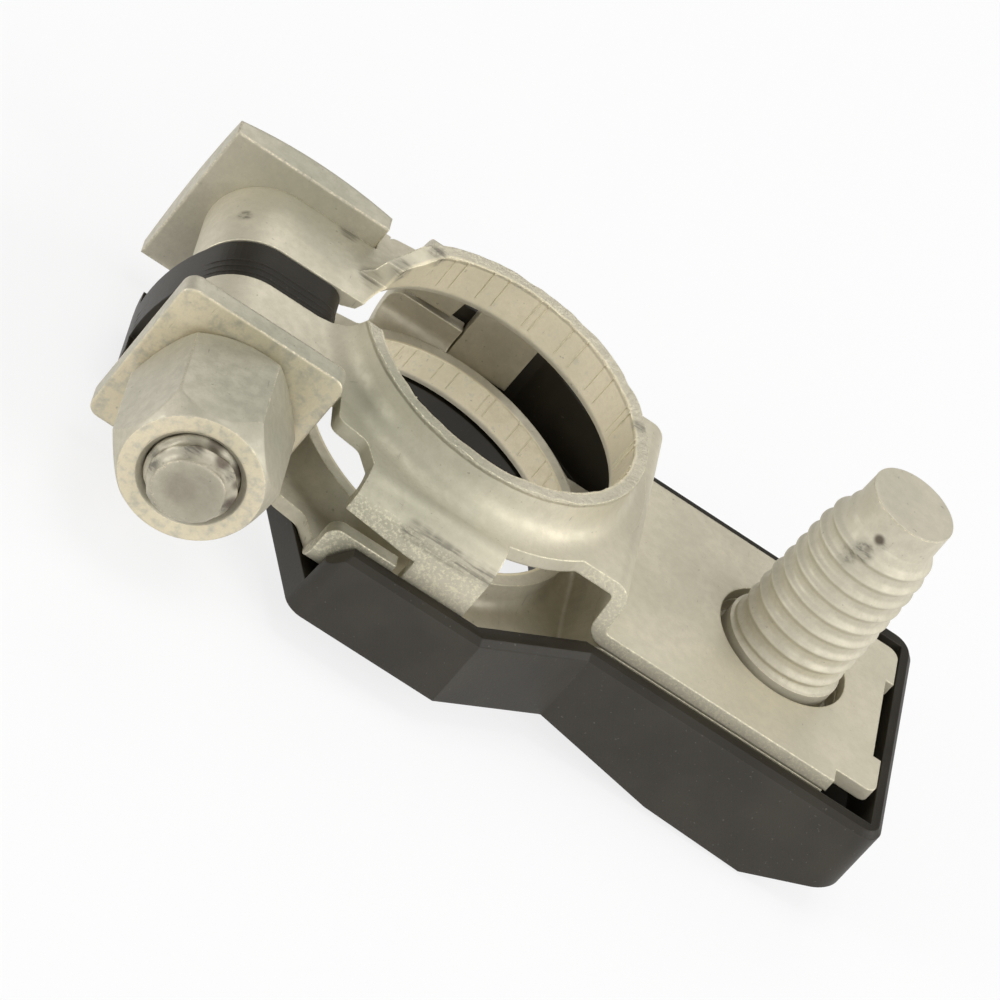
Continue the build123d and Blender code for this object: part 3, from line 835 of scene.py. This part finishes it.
def bead_places(tree, given):
    """One point for each score bead, in pairs round the bore with a little play, and its angle."""
    add, join = tree.nodes.new, tree.links.new
    row = add("GeometryNodeMeshLine")
    join(arithmetic(tree, "MULTIPLY", given["Pairs"], 2.0), row.inputs["Count"])
    index = add("GeometryNodeInputIndex").outputs[0]
    pair = arithmetic(tree, "FLOOR", arithmetic(tree, "DIVIDE", index, 2.0))
    side = arithmetic(tree, "MODULO", index, 2.0)
    play = add("FunctionNodeRandomValue")
    play.data_type = "FLOAT"
    play.inputs[RANDOM_LEAST].default_value = -BEAD_PLAY
    play.inputs[RANDOM_MOST].default_value = BEAD_PLAY
    play.inputs["Seed"].default_value = BEAD_SEED

    angle = given["First angle"]
    for more in (
        arithmetic(tree, "MULTIPLY", pair, given["Pair step"]),
        arithmetic(tree, "MULTIPLY", side, given["Pair gap"]),
        play.outputs[RANDOM_RESULT],
    ):
        angle = arithmetic(tree, "ADD", angle, more)
    radius, half = given["Bore radius"], arithmetic(tree, "MULTIPLY", given["Length"], 0.5)
    place = add("ShaderNodeCombineXYZ")
    for target, value in zip(place.inputs, (
        arithmetic(tree, "MULTIPLY", arithmetic(tree, "COSINE", angle), radius),
        arithmetic(tree, "MULTIPLY", arithmetic(tree, "SINE", angle), radius),
        arithmetic(tree, "ADD", given["Foot"], half),
    )):
        join(value, target)
    move = add("GeometryNodeSetPosition")
    join(row.outputs[0], move.inputs["Geometry"])
    join(place.outputs[0], move.inputs["Position"])
    return move.outputs[0], angle


def flat_beads(tree, given, points, angle):
    """A bead on each point, flattened against the wall of the bore."""
    add, join = tree.nodes.new, tree.links.new
    bead = add("GeometryNodeMeshCylinder")
    bead.inputs["Vertices"].default_value = BEAD_SIDES
    bead.inputs["Radius"].default_value = 1.0
    bead.inputs["Depth"].default_value = 1.0
    turn = add("ShaderNodeCombineXYZ")
    join(angle, turn.inputs[2])
    size = add("ShaderNodeCombineXYZ")
    join(given["Bead lift"], size.inputs[0])
    join(arithmetic(tree, "MULTIPLY", given["Bead width"], 0.5), size.inputs[1])
    join(given["Length"], size.inputs[2])
    spread = add("GeometryNodeInstanceOnPoints")
    join(points, spread.inputs["Points"])
    join(bead.outputs["Mesh"], spread.inputs["Instance"])
    join(turn.outputs[0], spread.inputs["Rotation"])
    join(size.outputs[0], spread.inputs["Scale"])
    return spread.outputs[0]


def bore_scores_tree():
    """Pairs of fine upright beads around a bore, pressed up where the sheet was drawn."""
    tree, sockets, given = open_tree("bore_scores", (
        ("Bore radius", "NodeSocketFloat"), ("Foot", "NodeSocketFloat"),
        ("Length", "NodeSocketFloat"), ("Pairs", "NodeSocketInt"),
        ("First angle", "NodeSocketFloat"), ("Pair step", "NodeSocketFloat"),
        ("Pair gap", "NodeSocketFloat"), ("Bead width", "NodeSocketFloat"),
        ("Bead lift", "NodeSocketFloat"), ("Finish", "NodeSocketMaterial"),
    ))
    points, angle = bead_places(tree, given)
    close_tree(tree, flat_beads(tree, given, points, angle), given)
    return tree, sockets


def bore_scores(name, tree, sockets, bore, first, pairs, material):
    """The score marks of one collar's bore, from a first angle in degrees."""
    foot, rim = bore
    piece = new_piece(name, bpy.data.meshes.new(name), material)
    return grow(piece, tree, sockets, (
        ("Bore radius", BEAD_CIRCLE_R * MM), ("Foot", foot * MM), ("Length", (rim - foot) * MM),
        ("Pairs", pairs), ("First angle", math.radians(first)),
        ("Pair step", math.radians(PAIR_STEP)), ("Pair gap", math.radians(PAIR_GAP)),
        ("Bead width", BEAD_WIDTH * MM), ("Bead lift", BEAD_LIFT * MM), ("Finish", material),
    ))


def swept_line(tree, given):
    """The path swept with a fine round bead."""
    add, join = tree.nodes.new, tree.links.new
    line = add("GeometryNodeMeshToCurve")
    join(given["Path"], line.inputs["Mesh"])
    bead = add("GeometryNodeCurvePrimitiveCircle")
    bead.inputs["Resolution"].default_value = BEAD_SIDES
    join(given["Rib radius"], bead.inputs["Radius"])
    swept = add("GeometryNodeCurveToMesh")
    join(line.outputs["Curve"], swept.inputs["Curve"])
    join(bead.outputs["Curve"], swept.inputs["Profile Curve"])
    swept.inputs["Fill Caps"].default_value = True
    return swept.outputs[0]


def arm_ribs_tree():
    """A line swept with a fine round bead and repeated side by side."""
    tree, sockets, given = open_tree("arm_ribs", (
        ("Path", "NodeSocketGeometry"), ("Ribs", "NodeSocketInt"),
        ("First place", "NodeSocketFloat"), ("Spacing", "NodeSocketFloat"),
        ("Rib radius", "NodeSocketFloat"), ("Finish", "NodeSocketMaterial"),
    ))
    add, join = tree.nodes.new, tree.links.new
    row = add("GeometryNodeMeshLine")
    join(given["Ribs"], row.inputs["Count"])
    start, step = add("ShaderNodeCombineXYZ"), add("ShaderNodeCombineXYZ")
    join(given["First place"], start.inputs[1])
    join(given["Spacing"], step.inputs[1])
    join(start.outputs[0], row.inputs["Start Location"])
    join(step.outputs[0], row.inputs["Offset"])
    spread = add("GeometryNodeInstanceOnPoints")
    join(row.outputs[0], spread.inputs["Points"])
    join(swept_line(tree, given), spread.inputs["Instance"])
    close_tree(tree, spread.outputs[0], given)
    return tree, sockets


def arm_ribs(material):
    """Fine ribs up the arm's side, along its round top and over its nose."""
    path = [
        *ARM_SIDE,
        *arc(BOLT_X, BOLT_Z, ARM_R, 150, 90, 24),
        *arc(ARM_RIGHT - ARM_NOSE, BOLT_Z + ARM_R - ARM_NOSE, ARM_NOSE, 90, 0, 6),
    ]
    points = [(x * MM, 0.0, z * MM) for x, z in path]
    mesh = bpy.data.meshes.new("arm_ribs")
    mesh.from_pydata(points, [(step, step + 1) for step in range(len(points) - 1)], [])
    tree, sockets = arm_ribs_tree()
    return grow(new_piece("arm_ribs", mesh, material), tree, sockets, (
        ("Ribs", RIBS), ("First place", FIRST_RIB * MM), ("Spacing", RIB_SPACING * MM),
        ("Rib radius", RIB_R * MM), ("Finish", material),
    ))


# ---------------------------------------------------------------- placing
def dress(node, material):
    """Gives a part carried over from the frame its finish."""
    node.data.materials.clear()
    node.data.materials.append(material)


def stand_for(piece, node, body):
    """The piece takes the node's place and moves with that body."""
    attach(piece, body)
    if node:
        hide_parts(node)


# ---------------------------------------------------------------- setting
def floor_white():
    """White paper that glows evenly to the eye and in shiny metal, yet keeps a shadow."""
    material = bpy.data.materials.new("floor_white")
    material.use_nodes = True
    tree = material.node_tree
    tree.nodes.clear()
    add, join = tree.nodes.new, tree.links.new
    seen = add("ShaderNodeLightPath").outputs
    paper = add("ShaderNodeBsdfDiffuse")
    paper.inputs["Color"].default_value = (FLOOR_TONE, FLOOR_TONE, FLOOR_TONE, 1)
    glow = add("ShaderNodeEmission")
    glow.inputs["Color"].default_value = (1, 1, 1, 1)
    glow.inputs["Strength"].default_value = 1.0
    mirrored = arithmetic(tree, "MAXIMUM", seen["Is Glossy Ray"], seen["Is Transmission Ray"])
    direct = arithmetic(tree, "MULTIPLY", seen["Is Camera Ray"], FLOOR_GLOW)
    mix = add("ShaderNodeMixShader")
    join(arithmetic(tree, "MAXIMUM", direct, mirrored), mix.inputs[0])
    join(paper.outputs[0], mix.inputs[1])
    join(glow.outputs[0], mix.inputs[2])
    join(mix.outputs[0], add("ShaderNodeOutputMaterial").inputs["Surface"])
    return material


def pale_floor(height):
    """A plain white floor that keeps the part's shadow."""
    half = FLOOR_HALF
    corners = [(-half, -half), (half, -half), (half, half), (-half, half)]
    mesh = bpy.data.meshes.new("floor")
    mesh.from_pydata([(x, y, height) for x, y in corners], [], [(0, 1, 2, 3)])
    mesh.materials.append(floor_white())
    floor = bpy.data.objects.new("floor", mesh)
    bpy.context.scene.collection.objects.link(floor)


def soft_lamp(name, place, power):
    """A large round lamp turned towards the part."""
    lamp = bpy.data.lights.new(name, "AREA")
    lamp.shape = "DISK"
    lamp.size = LAMP_SIZE
    lamp.energy = power
    holder = bpy.data.objects.new(name, lamp)
    holder.location = place
    holder.rotation_euler = (-Vector(place)).to_track_quat("-Z", "Y").to_euler()
    bpy.context.scene.collection.objects.link(holder)


def studio():
    """A quiet room with large soft lamps all round."""
    world = bpy.data.worlds.new("room")
    world.use_nodes = True
    room = world.node_tree.nodes["Background"]
    room.inputs["Color"].default_value = (1.0, 1.0, 1.0, 1)
    room.inputs["Strength"].default_value = ROOM_LIGHT
    bpy.context.scene.world = world
    for name, place, power in LAMPS:
        soft_lamp(name, place, power)


def camera():
    """A long lens from the front left and above, rolled so that the part lies aslant."""
    back = Vector(CAMERA_BACK).normalized()
    level = Vector((0, 0, 1)).cross(back).normalized()
    rise = back.cross(level)
    roll = math.radians(CAMERA_ROLL)
    right = math.cos(roll) * level + math.sin(roll) * rise
    up = -math.sin(roll) * level + math.cos(roll) * rise
    data = bpy.data.cameras.new("camera")
    data.lens = CAMERA_LENS
    data.sensor_width = CAMERA_SENSOR
    data.clip_start = 0.01
    data.clip_end = 20.0
    view = bpy.data.objects.new("camera", data)
    view.matrix_world = Matrix((*zip(right, up, back, CAMERA_PLACE), (0, 0, 0, 1)))
    bpy.context.scene.collection.objects.link(view)
    bpy.context.scene.camera = view


# ---------------------------------------------------------------- the part
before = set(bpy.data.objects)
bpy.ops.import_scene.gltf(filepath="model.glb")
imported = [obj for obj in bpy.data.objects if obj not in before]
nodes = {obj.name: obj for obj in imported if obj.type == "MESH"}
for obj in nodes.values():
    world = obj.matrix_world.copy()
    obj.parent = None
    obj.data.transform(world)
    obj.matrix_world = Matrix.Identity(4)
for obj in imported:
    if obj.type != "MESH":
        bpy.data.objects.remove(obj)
cad_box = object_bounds()
camera()

sheet = tinned_sheet()
fastener = plated_fastener()
bolt_plate = plated_bolt()
stud_plate = plated_stud()
plastic = black_plastic()

stand_for(pressed_sheet(nodes["clamp_body"], sheet), "clamp_body", "clamp")
stand_for(threaded_bolt(nodes["clamp_bolt"], bolt_plate), "clamp_bolt", "clamp")
stand_for(threaded_stud(stud_plate), "stud", "clamp")
stand_for(softened_tray(nodes["tray"], plastic), "tray", "clamp")
stand_for(arm_ribs(plastic), None, "clamp")
scores, score_sockets = bore_scores_tree()
for name, bore, first, pairs in (
    ("upper_bore_scores", UPPER_BORE, -142, 15),
    ("lower_bore_scores", LOWER_BORE, -150, 17),
):
    beads = bore_scores(name, scores, score_sockets, bore, first, pairs, sheet)
    stand_for(beads, None, "clamp")
for name in ("square_washer", "hex_nut"):
    dress(nodes[name], fastener)

pale_floor(cad_box[0][2] - FLOOR_DROP)
studio()
bpy.context.scene.view_settings.view_transform = "Standard"
